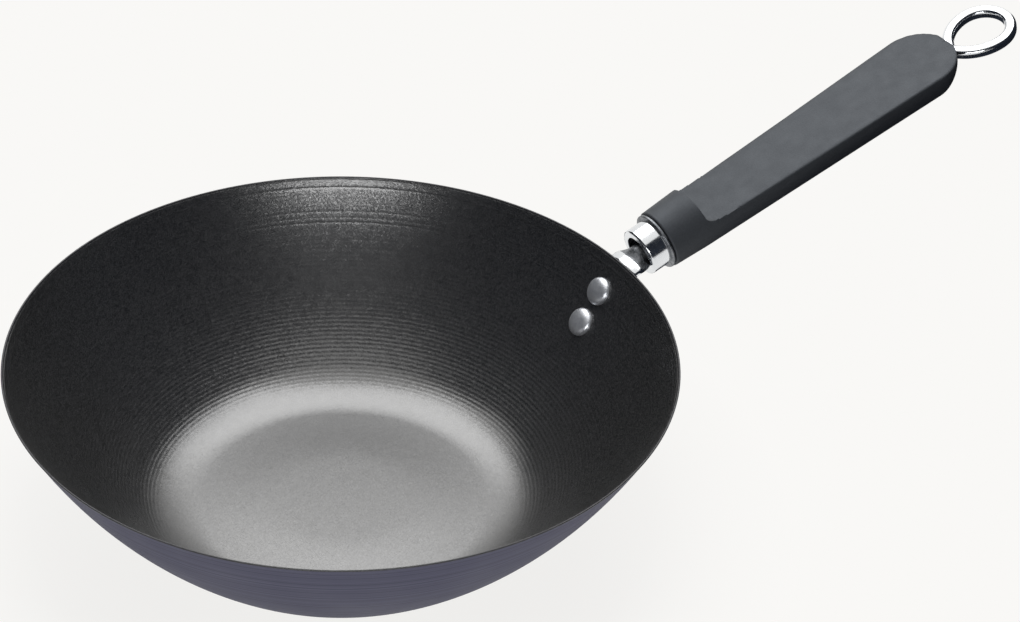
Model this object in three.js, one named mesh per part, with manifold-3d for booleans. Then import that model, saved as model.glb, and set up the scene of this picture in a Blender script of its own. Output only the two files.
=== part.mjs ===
// A small flat-based non-stick wok with one long handle: a pressed steel bowl, a riveted strap,
// a chromed ferrule, a moulded grip, and a cast hanging loop on a tie rod that clamps the handle together.
// Millimetres. The origin is the centre of the base's underside, +Z is up and the handle lies along +X.

import * as THREE from 'three';
import { mergeVertices } from 'three/addons/utils/BufferGeometryUtils.js';
import Module from 'manifold-3d';

const wasm = await Module();
wasm.setup();

const radians = THREE.MathUtils.degToRad;

// Clearance between pieces that touch on the real object
const GAP = 0.3;

// Bowl: flat base, fillet up to the knee, then one arc to the rim
const RIM_RADIUS = 132.5;
const BOWL_HEIGHT = 73.9;
const BASE_RADIUS = 57.8;
const BASE_FILLET = 38.2;
const KNEE_SLOPE = radians(41);
const WALL = 1.5;

// Two rivets on the handle's meridian, measured down the wall from the rim
const RIVET_BELOW_RIM = 15.8;
const RIVET_PITCH = 15.2;
const RIVET_SHANK = 5;
const RIVET_HEAD = 12;
const RIVET_HEAD_HEIGHT = 2.8;
const RIVET_TAIL = 9;
const RIVET_TAIL_HEIGHT = 1.8;

// Handle axis: starts at the ferrule's face, outside the rim and a little below it
const HANDLE_SLOPE = radians(18.2);
const HANDLE_STANDOFF = 11.1;
const HANDLE_DROP = 0.8;

// Strap: plate on the wall, fold in front of the ferrule, arched neck, tab turned down inside
const STRAP = 1.6;
const PLATE_HALF = 13;
const PLATE_BELOW_RIVET = 12;
const LIFT_ABOVE_RIVET = 7;
const LIFT_BEND = 4;
const FOLD_STANDOFF = 5.4;
const FOLD_HALF = 8.8;
const FOLD_BEND = 2.5;
const NECK_HALF = 6.5;
const NECK_RISE = 0.9;
const NECK_CROWN = 2;
const NECK_CLEARANCE = 0.45;
const TAB_BEND = 1.6;
const TAB_ROUND = 4.7;
const TAB_CLEARANCE = 0.8;

// Ferrule: a drawn cup, its face as wide as this around the neck's hole, with a flange at its open end
const FERRULE_FACE = 3.25;
const FERRULE_LENGTH = 10;
const FERRULE_WALL = 1.2;
const FERRULE_EDGE = 0.8;
const FLANGE_STEP = 2.05;
const FLANGE = 1.4;

// Grip: round collar, oval bar with a flat cut along its top, round tail with a boss under the flat's tip
const GRIP_LENGTH = 159.2;
const COLLAR_STEP = 0.35;
const COLLAR_REAR_RADIUS = 13.65;
const COLLAR_EDGE = 0.8;
const GRIP_HALF_WIDTH = 17.8;
const GRIP_HALF_HEIGHT = 14.5;
const PANEL_START = 16.3;
const PANEL_HEIGHT = 3.6;
const PANEL_FRONT_HALF = 6;
const PANEL_CORNER_WIDTH = 7.8;
const PANEL_CORNER_RUN = 16;
const TAIL_RUN = 16.5;
const TAIL_CLOSE = radians(72);
const TAIL_LIP = 1.4;
const BOSS = 10;

// Tie rod and its nut, below the handle's axis
const ROD = 4;
const ROD_DROP = 3.85;
const ROD_PAST_NUT = 1;
const NUT_FLATS = 7;
const NUT_HEIGHT = 3.2;
const TAB_DEPTH = 3.1;

// Hanging loop: drop-shaped eye, round collar against the tail's boss, tapped stem
const EYE_RADIUS = 9.8;
const EYE_TO_POINT = 15.5;
const EYE_BAND = 4.8;
const EYE_THICKNESS = 4.8;
const EYE_EDGE = 0.5;
const POINT_DEPTH = 5.2;
const LOOP_COLLAR = 9.6;
const LOOP_COLLAR_LENGTH = 1.8;
const STEM = 7;
const STEM_LENGTH = 14;
const STEM_TAP_DEPTH = 11;

// Fineness of the facets
const BOWL_SEGMENTS = 80;
const ROUND_SEGMENTS = 36;
const SMALL_SEGMENTS = 24;
const FILLET_STEPS = 5;
const WALL_STEPS = 9;
const DOME_STEPS = 5;
const BEND_STEPS = 5;
const ACROSS_STEPS = 8;
const GRIP_STEPS = 5;
const TAIL_STEPS = 8;
const LEG_STEPS = 7;
const END_STEPS = 6;
const EDGE_STEPS = 2;
const MERGE_DISTANCE = 1e-4;

// How far a cutter runs past the face it cuts through
const CUT_THROUGH = 5;

const finishes = {
  coating: { metalness: 0.25, roughness: 0.42, color: 0x2c2d30 },
  rivet: { metalness: 1, roughness: 0.3, color: 0xb9bbbe },
  chrome: { metalness: 1, roughness: 0.18, color: 0xd8dadd },
  grip: { metalness: 0, roughness: 0.55, color: 0x222326 },
  zincSteel: { metalness: 1, roughness: 0.4, color: 0x9b9ea2 },
};

// Turns a geometry into a closed solid, with shared vertices merged and flat triangles dropped.
function solid(geometry) {
  const bare = new THREE.BufferGeometry();
  bare.setAttribute('position', geometry.getAttribute('position'));
  bare.setIndex(geometry.getIndex());
  const merged = mergeVertices(bare, MERGE_DISTANCE);
  const corners = merged.getIndex().array;
  const triangles = [];
  for (let i = 0; i < corners.length; i += 3) {
    const [a, b, c] = corners.slice(i, i + 3);
    if (a !== b && b !== c && c !== a) triangles.push(a, b, c);
  }
  return new wasm.Manifold(new wasm.Mesh({
    numProp: 3,
    vertProperties: new Float32Array(merged.getAttribute('position').array),
    triVerts: new Uint32Array(triangles),
  }));
}

// Cuts each cutter geometry out of a solid.
function cut(body, cutters) {
  return cutters.reduce((rest, cutter) => rest.subtract(solid(cutter)), body);
}

// Makes a named mesh from a solid.
function piece(name, body, finish) {
  const { vertProperties, triVerts } = body.getMesh();
  const geometry = new THREE.BufferGeometry();
  geometry.setAttribute('position', new THREE.BufferAttribute(vertProperties, 3));
  geometry.setIndex(new THREE.BufferAttribute(triVerts, 1));
  geometry.computeVertexNormals();
  const mesh = new THREE.Mesh(geometry, new THREE.MeshStandardMaterial(finish));
  mesh.name = name;
  return mesh;
}

// A cylinder along X between two places on that axis, at a height above it.
function rodAlongX(radius, from, to, height = 0, segments = SMALL_SEGMENTS) {
  const cylinder = new THREE.CylinderGeometry(radius, radius, to - from, segments);
  return cylinder.rotateZ(-Math.PI / 2).translate((from + to) / 2, 0, height);
}

// A profile of (radius, place along X) points turned about the X axis.
function turnedAboutX(profile, segments) {
  return new THREE.LatheGeometry(profile, segments).rotateZ(-Math.PI / 2);
}

// Points of an arc about a centre, from one angle to another, both ends included.
function arcPoints(centre, radius, from, to, steps) {
  return Array.from({ length: steps + 1 }, (_, i) => {
    const angle = from + (to - from) * i / steps;
    return new THREE.Vector2(centre.x + radius * Math.cos(angle), centre.y + radius * Math.sin(angle));
  });
}

// A closed skin over rings of points that run the same way round, with a fan on each end.
function loft(rings) {
  const count = rings[0].length;
  const points = rings.flat();
  const faces = [];
  for (let i = 0; i + 1 < rings.length; i += 1) {
    for (let j = 0; j < count; j += 1) {
      const a = i * count + j;
      const b = i * count + (j + 1) % count;
      faces.push(a, b, b + count, a, b + count, a + count);
    }
  }
  const last = (rings.length - 1) * count;
  const middle = (ring) => ring.reduce((sum, p) => sum.add(p), new THREE.Vector3()).divideScalar(count);
  const startCentre = points.push(middle(rings[0])) - 1;
  const endCentre = points.push(middle(rings.at(-1))) - 1;
  for (let j = 0; j < count; j += 1) {
    const next = (j + 1) % count;
    faces.push(startCentre, next, j, endCentre, last + j, last + next);
  }
  const geometry = new THREE.BufferGeometry().setFromPoints(points);
  geometry.setIndex(faces);
  return geometry;
}

// Bowl section, as (radius, height) points

const kneePoint = new THREE.Vector2(
  BASE_RADIUS + BASE_FILLET * Math.sin(KNEE_SLOPE),
  BASE_FILLET * (1 - Math.cos(KNEE_SLOPE)),
);
const kneeNormal = new THREE.Vector2(-Math.sin(KNEE_SLOPE), Math.cos(KNEE_SLOPE));
const kneeToRim = new THREE.Vector2(RIM_RADIUS, BOWL_HEIGHT).sub(kneePoint);
const wallArc = kneeToRim.lengthSq() / (2 * kneeToRim.dot(kneeNormal));
const wallCentre = kneePoint.clone().addScaledVector(kneeNormal, wallArc);
const rimSlope = Math.atan2(RIM_RADIUS - wallCentre.x, wallCentre.y - BOWL_HEIGHT);

// The slope of the wall at a distance down it from the rim.
function slopeBelowRim(distance) {
  return rimSlope - distance / wallArc;
}

// A point on the wall where it has a slope, moved outward along its normal.
function wallPoint(slope, outward) {
  const radius = wallArc + outward;
  return new THREE.Vector2(
    wallCentre.x + radius * Math.sin(slope),
    wallCentre.y - radius * Math.cos(slope),
  );
}

function bowlFace(inset, topSlope) {
  const filletCentre = new THREE.Vector2(BASE_RADIUS, BASE_FILLET);
  const down = -Math.PI / 2;
  const fillet = arcPoints(filletCentre, BASE_FILLET - inset, down, down + KNEE_SLOPE, FILLET_STEPS);
  const wall = arcPoints(wallCentre, wallArc - inset, down + KNEE_SLOPE, down + topSlope, WALL_STEPS);
  return [new THREE.Vector2(0, inset), ...fillet, ...wall.slice(1)];
}

// A matrix that stands a piece made along X on the wall, X pointing out of the bowl.
function onWall(belowRim) {
  const slope = slopeBelowRim(belowRim);
  const place = wallPoint(slope, 0);
  return new THREE.Matrix4()
    .makeRotationY(Math.PI / 2 - slope)
    .setPosition(place.x, 0, place.y);
}

const rivetPlaces = {
  rivet_upper: onWall(RIVET_BELOW_RIM),
  rivet_lower: onWall(RIVET_BELOW_RIM + RIVET_PITCH),
};

// Holes for both rivets, from inside the bowl to outside the strap.
function rivetHoles() {
  const radius = RIVET_SHANK / 2 + GAP;
  const reach = WALL + STRAP + CUT_THROUGH;
  return Object.values(rivetPlaces).map((place) => rodAlongX(radius, -reach, reach).applyMatrix4(place));
}

function wokBody() {
  const innerTopSlope = Math.acos((wallCentre.y - BOWL_HEIGHT) / (wallArc - WALL));
  const profile = [...bowlFace(0, rimSlope), ...bowlFace(WALL, innerTopSlope).reverse()];
  const bowl = new THREE.LatheGeometry(profile, BOWL_SEGMENTS).rotateX(Math.PI / 2);
  return piece('wok_body', cut(solid(bowl), rivetHoles()), finishes.coating);
}

// One rivet, turned: domed head inside, shank, flatter upset tail outside the strap.
function rivet(name) {
  const headBase = -WALL - GAP;
  const tailBase = 2 * GAP + STRAP;
  const quarter = Math.PI / 2;
  const oval = (radius, height, base, from, to) => arcPoints(new THREE.Vector2(), 1, from, to, DOME_STEPS)
    .map((p) => new THREE.Vector2(p.x * radius, base + p.y * height));
  const head = oval(RIVET_HEAD / 2, RIVET_HEAD_HEIGHT, headBase, -quarter, 0);
  const tail = oval(RIVET_TAIL / 2, RIVET_TAIL_HEIGHT, tailBase, 0, quarter);
  const shank = [headBase, tailBase].map((along) => new THREE.Vector2(RIVET_SHANK / 2, along));
  const body = solid(turnedAboutX([...head, ...shank, ...tail], SMALL_SEGMENTS));
  const mesh = piece(name, body, finishes.rivet);
  mesh.applyMatrix4(rivetPlaces[name]);
  return mesh;
}

// Handle frame: X along the handle's axis from the ferrule's face, Z square to it and up

const handle = new THREE.Group();
handle.position.set(RIM_RADIUS + HANDLE_STANDOFF, 0, BOWL_HEIGHT - HANDLE_DROP);
handle.rotation.y = -HANDLE_SLOPE;
handle.updateMatrix();

const ferruleHole = Math.hypot(NECK_HALF, NECK_CROWN - NECK_RISE + STRAP / 2) + NECK_CLEARANCE;
const ferruleRadius = ferruleHole + FERRULE_FACE;
const flangeRadius = ferruleRadius + FLANGE_STEP;
const collarRadius = flangeRadius + COLLAR_STEP;
const gripFront = FERRULE_LENGTH + GAP;
const gripEnd = gripFront + GRIP_LENGTH;
const bossEnd = gripEnd - TAIL_LIP;
const loopCollarStart = bossEnd + GAP;
const loopCollarEnd = loopCollarStart + LOOP_COLLAR_LENGTH;
const tabPlace = gripFront + TAB_DEPTH;
const nutEnd = tabPlace - STRAP / 2 - GAP;
const nutStart = nutEnd - NUT_HEIGHT;
const stemStart = loopCollarStart - STEM_LENGTH;
const tapBottom = stemStart + STEM_TAP_DEPTH;

// A place on the handle's meridian, given along its axis and above it, as (radius, height) in the part's frame.
function onHandle(along, above) {
  const place = new THREE.Vector3(along, 0, above).applyMatrix4(handle.matrix);
  return new THREE.Vector2(place.x, place.z);
}

// Replaces the corner between two straight runs by an arc.
function bend(before, corner, after, radius) {
  const inward = before.clone().sub(corner).normalize();
  const outward = after.clone().sub(corner).normalize();
  const half = inward.angleTo(outward) / 2;
  const centre = inward.clone().add(outward).normalize().multiplyScalar(radius / Math.sin(half)).add(corner);
  const start = corner.clone().addScaledVector(inward, radius / Math.tan(half)).sub(centre);
  const end = corner.clone().addScaledVector(outward, radius / Math.tan(half)).sub(centre);
  const turn = Math.atan2(start.cross(end), start.dot(end));
  return arcPoints(centre, radius, start.angle(), start.angle() + turn, BEND_STEPS);
}

// Shares of a round end's radius, measured from its tip, where the strap's width changes
const endShares = Array.from({ length: END_STEPS }, (_, i) => 1 - Math.cos((i + 1) / END_STEPS * Math.PI / 2));

// Stations along the strap from the plate's foot to the tab's: the place of its middle, half its width, and how
// its edges bend up from its middle per square of the distance across.
function strapStations() {
  const onPlate = (belowRim) => wallPoint(slopeBelowRim(belowRim), GAP + STRAP / 2);
  const plateFoot = RIVET_BELOW_RIM + RIVET_PITCH + PLATE_BELOW_RIVET;
  const betweenRivets = onPlate(RIVET_BELOW_RIM + RIVET_PITCH / 2);
  const upperRivet = onPlate(RIVET_BELOW_RIM);
  const lift = onPlate(RIVET_BELOW_RIM - LIFT_ABOVE_RIVET);
  const fold = onHandle(-FOLD_STANDOFF, NECK_RISE);
  const inFace = [0, FERRULE_WALL].map((along) => onHandle(along, NECK_RISE));
  const tabTop = onHandle(tabPlace, NECK_RISE);
  const tabRod = onHandle(tabPlace, -ROD_DROP);
  const wallCurve = Math.sin(rimSlope) / (2 * RIM_RADIUS);
  const neckCurve = -NECK_CROWN / NECK_HALF ** 2;
  const run = (places, half, curve) => places.map((place) => ({ place, half, curve }));
  const roundEnd = (placeAt, radius, curve) => endShares.map((share) => ({
    place: placeAt(share * radius),
    half: radius * Math.sqrt(share * (2 - share)),
    curve,
  }));
  const tabFoot = -ROD_DROP - TAB_ROUND;
  return [
    ...roundEnd((up) => onPlate(plateFoot - up), PLATE_HALF, wallCurve),
    ...run([betweenRivets, upperRivet], PLATE_HALF, wallCurve),
    ...run(bend(upperRivet, lift, fold, LIFT_BEND), PLATE_HALF, wallCurve),
    ...run(bend(lift, fold, tabTop, FOLD_BEND), FOLD_HALF, neckCurve),
    ...run(inFace, NECK_HALF, neckCurve),
    ...run(bend(fold, tabTop, tabRod, TAB_BEND), NECK_HALF, 0),
    ...roundEnd((up) => onHandle(tabPlace, tabFoot + up), TAB_ROUND, 0).reverse(),
  ];
}

// The strap's section at one station, square to the line through its neighbours.
function strapRing(station, before, after) {
  const along = after.place.clone().sub(before.place).normalize();
  const top = new THREE.Vector2(-along.y, along.x);
  const row = (side) => Array.from({ length: ACROSS_STEPS + 1 }, (_, j) => {
    const across = station.half * (1 - 2 * j / ACROSS_STEPS);
    const lift = station.curve * across ** 2 + side * STRAP / 2;
    const place = station.place.clone().addScaledVector(top, lift);
    return new THREE.Vector3(place.x, across, place.y);
  });
  return [...row(1), ...row(-1).reverse()];
}

function handleBracket() {
  const stations = strapStations();
  const rings = stations.map((station, i) => (
    strapRing(station, stations[i - 1] ?? station, stations[i + 1] ?? station)
  ));
  const rodHole = rodAlongX(ROD / 2 + GAP, gripFront, tabPlace + CUT_THROUGH, -ROD_DROP);
  const holes = [...rivetHoles(), rodHole.applyMatrix4(handle.matrix)];
  return piece('handle_bracket', cut(solid(loft(rings)), holes), finishes.chrome);
}

function ferrule() {
  const bore = ferruleRadius - FERRULE_WALL;
  const edgeCentre = new THREE.Vector2(ferruleRadius - FERRULE_EDGE, FERRULE_EDGE);
  const at = (radius, along) => new THREE.Vector2(radius, along);
  const profile = [
    at(ferruleHole, 0),
    ...arcPoints(edgeCentre, FERRULE_EDGE, -Math.PI / 2, 0, EDGE_STEPS),
    at(ferruleRadius, FERRULE_LENGTH - FLANGE),
    at(flangeRadius, FERRULE_LENGTH - FLANGE),
    at(flangeRadius, FERRULE_LENGTH),
    at(bore, FERRULE_LENGTH),
    at(bore, FERRULE_WALL),
    at(ferruleHole, FERRULE_WALL),
    at(ferruleHole, 0),
  ];
  return piece('ferrule', solid(turnedAboutX(profile, ROUND_SEGMENTS)), finishes.chrome);
}

// Oval section of the grip across its axis.
function gripRing(along, halfWidth, halfHeight, middle) {
  return Array.from({ length: ROUND_SEGMENTS }, (_, j) => {
    const angle = 2 * Math.PI * j / ROUND_SEGMENTS;
    return new THREE.Vector3(along, halfWidth * Math.cos(angle), middle + halfHeight * Math.sin(angle));
  });
}

// Plan of the cut above the flat panel: straight front, long oval front corners, flaring past the sides.
function panelCutter() {
  const cornerEnd = gripFront + PANEL_START + PANEL_CORNER_RUN;
  const far = gripEnd + CUT_THROUGH;
  const wide = GRIP_HALF_WIDTH + PANEL_FRONT_HALF;
  const oval = [PANEL_CORNER_RUN, PANEL_CORNER_WIDTH];
  const plan = new THREE.Shape();
  plan.moveTo(far, -wide);
  plan.lineTo(far, wide);
  plan.lineTo(cornerEnd + wide, wide);
  plan.absellipse(cornerEnd, PANEL_FRONT_HALF, ...oval, Math.PI / 2, Math.PI, false);
  plan.absellipse(cornerEnd, -PANEL_FRONT_HALF, ...oval, Math.PI, 3 * Math.PI / 2, false);
  plan.lineTo(cornerEnd + wide, -wide);
  const height = COLLAR_REAR_RADIUS + GRIP_HALF_HEIGHT;
  const cutter = new THREE.ExtrudeGeometry(plan, { depth: height, bevelEnabled: false, curveSegments: BEND_STEPS });
  return cutter.translate(0, 0, PANEL_HEIGHT);
}

function grip() {
  const tailStart = gripEnd - TAIL_RUN;
  const collarEnd = gripFront + PANEL_START;
  const rings = [
    gripRing(gripFront, collarRadius - COLLAR_EDGE, collarRadius - COLLAR_EDGE, 0),
    gripRing(gripFront + COLLAR_EDGE, collarRadius, collarRadius, 0),
  ];
  for (let i = 0; i <= GRIP_STEPS; i += 1) {
    const share = i / GRIP_STEPS;
    rings.push(gripRing(
      THREE.MathUtils.lerp(collarEnd, tailStart, share),
      THREE.MathUtils.lerp(COLLAR_REAR_RADIUS, GRIP_HALF_WIDTH, share),
      THREE.MathUtils.lerp(COLLAR_REAR_RADIUS, GRIP_HALF_HEIGHT, share),
      0,
    ));
  }
  for (let i = 1; i <= TAIL_STEPS; i += 1) {
    const angle = TAIL_CLOSE * i / TAIL_STEPS;
    const left = Math.cos(angle);
    const along = tailStart + TAIL_RUN * Math.sin(angle) / Math.sin(TAIL_CLOSE);
    rings.push(gripRing(along, GRIP_HALF_WIDTH * left, GRIP_HALF_HEIGHT * left, PANEL_HEIGHT * (1 - left)));
  }
  const mouth = ROD_DROP + TAB_ROUND + TAB_CLEARANCE;
  const mouthEnd = tabPlace + STRAP / 2 + TAB_CLEARANCE;
  const boss = rodAlongX(BOSS / 2, tailStart, bossEnd, -ROD_DROP);
  const body = cut(solid(loft(rings)).add(solid(boss)), [
    panelCutter(),
    rodAlongX(mouth, gripFront - CUT_THROUGH, mouthEnd, 0, ROUND_SEGMENTS),
    rodAlongX(ROD / 2 + GAP, mouthEnd - CUT_THROUGH, gripEnd, -ROD_DROP),
    rodAlongX(STEM / 2 + GAP, stemStart - GAP, gripEnd + CUT_THROUGH, -ROD_DROP),
    rodAlongX(LOOP_COLLAR / 2 + GAP, bossEnd, gripEnd + CUT_THROUGH, -ROD_DROP),
  ]);
  return piece('grip', body, finishes.grip);
}

function tieRod() {
  const body = solid(rodAlongX(ROD / 2, nutStart - ROD_PAST_NUT, tapBottom - GAP, -ROD_DROP));
  return piece('tie_rod', body, finishes.zincSteel);
}

function weldNut() {
  const hexagon = rodAlongX(NUT_FLATS / Math.sqrt(3), nutStart, nutEnd, 0, 6);
  hexagon.rotateX(Math.PI / 6).translate(0, 0, -ROD_DROP);
  const hole = rodAlongX(ROD / 2 + GAP, nutStart - CUT_THROUGH, nutEnd + CUT_THROUGH, -ROD_DROP);
  return piece('weld_nut', cut(solid(hexagon), [hole]), finishes.zincSteel);
}

// Outline of a drop: one leg, the round tip and the other leg, each leg centred across the middle line.
function dropOutline(eye, tipRadius, legRadius, legAngle) {
  const quarter = Math.PI / 2;
  const legShift = legRadius - tipRadius;
  const at = (across) => new THREE.Vector2(eye, across);
  return [
    ...arcPoints(at(legShift), legRadius, -legAngle, -quarter, LEG_STEPS),
    ...arcPoints(at(0), tipRadius, -quarter, quarter, 2 * LEG_STEPS).slice(1),
    ...arcPoints(at(-legShift), legRadius, quarter, legAngle, LEG_STEPS).slice(1),
  ];
}

// The eye's outer outline is the hole's own arcs set out by the band, cut off flat inside the collar.
function hangingLoop() {
  const eye = loopCollarStart + POINT_DEPTH + EYE_TO_POINT;
  const root = (loopCollarStart + loopCollarEnd) / 2;
  const legRadius = (EYE_RADIUS ** 2 + EYE_TO_POINT ** 2) / (2 * EYE_RADIUS);
  const outerLeg = legRadius + EYE_BAND;
  const rootAngle = Math.acos((root - eye) / outerLeg);
  const pointAngle = Math.atan2(legRadius - EYE_RADIUS, -EYE_TO_POINT);
  const plan = new THREE.Shape(dropOutline(eye, EYE_RADIUS + EYE_BAND, outerLeg, rootAngle));
  const hole = dropOutline(eye, EYE_RADIUS, legRadius, pointAngle).slice(1);
  plan.holes.push(new THREE.Path(hole));
  const plate = new THREE.ExtrudeGeometry(plan, {
    depth: EYE_THICKNESS - 2 * EYE_EDGE,
    bevelThickness: EYE_EDGE,
    bevelSize: EYE_EDGE,
    bevelOffset: -EYE_EDGE,
    bevelSegments: EDGE_STEPS,
  });
  plate.translate(0, 0, EYE_EDGE - EYE_THICKNESS / 2 - ROD_DROP);
  const collar = rodAlongX(LOOP_COLLAR / 2, loopCollarStart, loopCollarEnd, -ROD_DROP);
  const stem = rodAlongX(STEM / 2, stemStart, root, -ROD_DROP);
  const tap = rodAlongX(ROD / 2 + GAP, stemStart - CUT_THROUGH, tapBottom, -ROD_DROP);
  const casting = solid(plate).add(solid(collar)).add(solid(stem));
  return piece('hanging_loop', cut(casting, [tap]), finishes.chrome);
}

const wok = new THREE.Group();
wok.add(wokBody(), handleBracket(), ...Object.keys(rivetPlaces).map(rivet), handle);
handle.add(ferrule(), grip(), tieRod(), weldNut(), hangingLoop());

export default wok;
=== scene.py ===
# Looks of a small flat-based non-stick wok with one long handle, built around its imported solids.
# The shapes are written in millimetres in the part's frame and turned into metres as meshes are made.

import math

import bpy
from mathutils import Matrix, Vector


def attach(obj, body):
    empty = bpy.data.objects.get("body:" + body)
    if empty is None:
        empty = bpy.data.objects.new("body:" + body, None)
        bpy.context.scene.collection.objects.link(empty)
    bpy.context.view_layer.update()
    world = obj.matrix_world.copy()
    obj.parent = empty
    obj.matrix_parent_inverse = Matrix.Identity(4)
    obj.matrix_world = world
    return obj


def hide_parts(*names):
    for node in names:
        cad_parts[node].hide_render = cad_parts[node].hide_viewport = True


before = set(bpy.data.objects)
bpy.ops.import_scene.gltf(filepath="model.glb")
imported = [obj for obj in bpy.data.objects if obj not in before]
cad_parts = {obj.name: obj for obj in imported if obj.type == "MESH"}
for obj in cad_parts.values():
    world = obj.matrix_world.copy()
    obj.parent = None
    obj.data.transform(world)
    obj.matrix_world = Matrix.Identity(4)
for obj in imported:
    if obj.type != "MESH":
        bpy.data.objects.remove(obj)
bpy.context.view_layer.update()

# General: a gap parts two solids, and a hair is the smallest step or radius in a section
MM = 0.001
GAP = 0.3
HAIR = 0.02
QUARTER = math.pi / 2
SPLIT_ANGLE = math.radians(50)

# Bowl
RIM_RADIUS = 132.5
BOWL_HEIGHT = 73.9
BASE_RADIUS = 57.8
BASE_FILLET = 38.2
KNEE_SLOPE = math.radians(41)
WALL = 1.5
RIM_WALL = 0.78
RIM_TAPER = 48
RIM_EDGE = 0.35
BASE_RISE = 0.58
BASE_FLAT_RADIUS = 26
UNDERSIDE_SHARES = (0.02, 0.3, 0.6, 0.85)
FILLET_STEPS = 14
WALL_STEPS = 40
RIM_EDGE_STEPS = 5
INSIDE_FILLET_STEPS = 18
BASE_STEPS = 30
BOWL_SEGMENTS = 200

# Spun rings inside the bowl: distances are measured down the wall from the rim
RING_PITCH = 1.84
RING_HEIGHT = 0.018
RINGS_LEAST = 0.12
RINGS_FULL = 72
RINGS_FADED = 26
RINGS_BELOW_KNEE = 13
RINGS_FADE = 9
UNEVEN_SHARE = 0.2
UNEVEN_WAVES = (0.9, 0.37)
RIDGES = ((4.8, 0.07), (15.2, 0.018), (17.9, 0.026), (19.9, 0.038), (27.4, 0.012), (31.2, 0.012))
RIDGE_SPREAD = 0.45
INSIDE_START = 1.2
INSIDE_STEP = 0.26

# Rivets
RIVET_BELOW_RIM = 15.8
RIVET_PITCH = 15.2
RIVET_HEAD = 12
RIVET_HEAD_HEIGHT = 2.8
RIVET_SEAT = 0.1
RIVET_TAIL = 9
RIVET_TAIL_HEIGHT = 1.8
SHANK_RADIUS = 2.5
HEAD_EDGE = 0.2
HEAD_BULGE = 0.9
HEAD_CROWN = 0.8
RIVET_STEPS = 16
RIVET_SEGMENTS = 64

# Handle axis
HANDLE_SLOPE = math.radians(18.2)
HANDLE_STANDOFF = 11.1
HANDLE_DROP = 0.8
ROD_DROP = 3.85

# Strap
STRAP = 1.6
PLATE_HALF = 13
PLATE_BELOW_RIVET = 12
LIFT_ABOVE_RIVET = 7
LIFT_BEND = 4
FOLD_STANDOFF = 8.6
FOLD_LEAD = 1
FOLD_HALF = 8.8
FOLD_CROWN = 2.6
FOLD_BEND = 2.5
FOLD_RISE = 0.9
FLAT_SHARES = (0.5, 1)
NECK_LENGTH = 6
NECK_HALF = 5.6
NECK_RISE = 3.2
NECK_CROWN = 5.2
TAB_BEND = 1.6
TAB_ROUND = 4.7
TAB_PLACE = 13.4
STRAP_EDGE = 0.35
END_STEPS = 14
PLATE_STEPS = 9
BEND_STEPS = 8
RISER_STEPS = 8
NECK_STEPS = 7
NECK_NARROW_STEPS = 6
ACROSS_STEPS = 14

# Ferrule
FERRULE_HOLE = 7.22
HOLE_EDGE = 0.35
FERRULE_RADIUS = 10.47
FERRULE_LENGTH = 10
FERRULE_WALL = 1.2
FERRULE_EDGE = 0.9
FLANGE_RADIUS = 12.52
FLANGE = 1.4
FLANGE_EDGE = 0.5
FLANGE_FILLET = 0.4
SMALL_EDGE_STEPS = 4
FERRULE_EDGE_STEPS = 8
FLANGE_EDGE_STEPS = 6
FERRULE_SEGMENTS = 128

# Grip
GRIP_FRONT = 10.3
GRIP_END = 169.5
COLLAR_FRONT_RADIUS = 12.87
COLLAR_REAR_RADIUS = 13.65
COLLAR_EDGE = 0.8
COLLAR_EDGE_STEPS = 5
GRIP_HALF_WIDTH = 17.8
GRIP_HALF_HEIGHT = 14.5
MOUTH_RADIUS = 9.35
MOUTH_DEPTH = 4.7
PANEL_FRONT = 26.6
PANEL_HEIGHT = 3.6
PANEL_FRONT_HALF = 6
PANEL_CORNER_WIDTH = 7.8
PANEL_CORNER_RUN = 16
LEAST_DEPTH = 0.5
LEAST_UP = 0.02
FRONT_BLEND = 2.2
PANEL_BLEND = 3.4
PANEL_BLEND_RUN = (36, 70)
TAIL_BLEND = 3.2
TAIL_BLEND_RUN = 50
STEP_RUN = 2.4
TAIL_RUN = 16.5
TAIL_START = GRIP_END - TAIL_RUN
TAIL_CLOSE = math.radians(72)
TAIL_BELLY = 2.3
TAIL_EDGE = 0.4
TAIL_SHRINKS = (0.9, 0.7)
BOSS_RADIUS = 5
BOSS_END = 168.1
COLLAR_STEP = 1.2
COLLAR_STEPS = 12
PANEL_LEAD = 1
PANEL_STEP = 0.25
PANEL_STEPS = 84
LENGTH_STEPS = 60
TAIL_STEPS = 36
GRIP_COLUMNS = 208
GRIP_SPLIT_ANGLE = math.radians(60)

# Hanging loop
EYE_RADIUS = 9.8
EYE_TO_POINT = 15.5
EYE_BAND = 5.1
EYE_THICKNESS = 4.8
EYE_EDGE = 1.7
EYE_BULGE = 0.2
EYE_LIP = 0.1
POINT_DEPTH = 5.8
LOOP_COLLAR_RADIUS = 4.8
LOOP_COLLAR_LENGTH = 1.8
LOOP_COLLAR_EDGE = 0.3
LOOP_START = BOSS_END + GAP
LOOP_COLLAR_END = LOOP_START + LOOP_COLLAR_LENGTH
STEM_RADIUS = 3.5
STEM_LENGTH = 14
STEM_EDGE = 0.5
LEG_STEPS = 36
TIP_STEPS = 64
LEVEL_STEPS = 8
STEM_SEGMENTS = 48

# Camera, fitted to the rim, the base and the handle
HANDLE_AZIMUTH = math.radians(31.15)
CAMERA_DISTANCE = 1.1005
CAMERA_ELEVATION = math.radians(35.378)
CAMERA_YAW = math.radians(3.409)
CAMERA_PITCH = math.radians(-0.885)
CAMERA_ROLL = math.radians(0.105)
CAMERA_LENS = 98.82
CAMERA_SENSOR = 36

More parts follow.
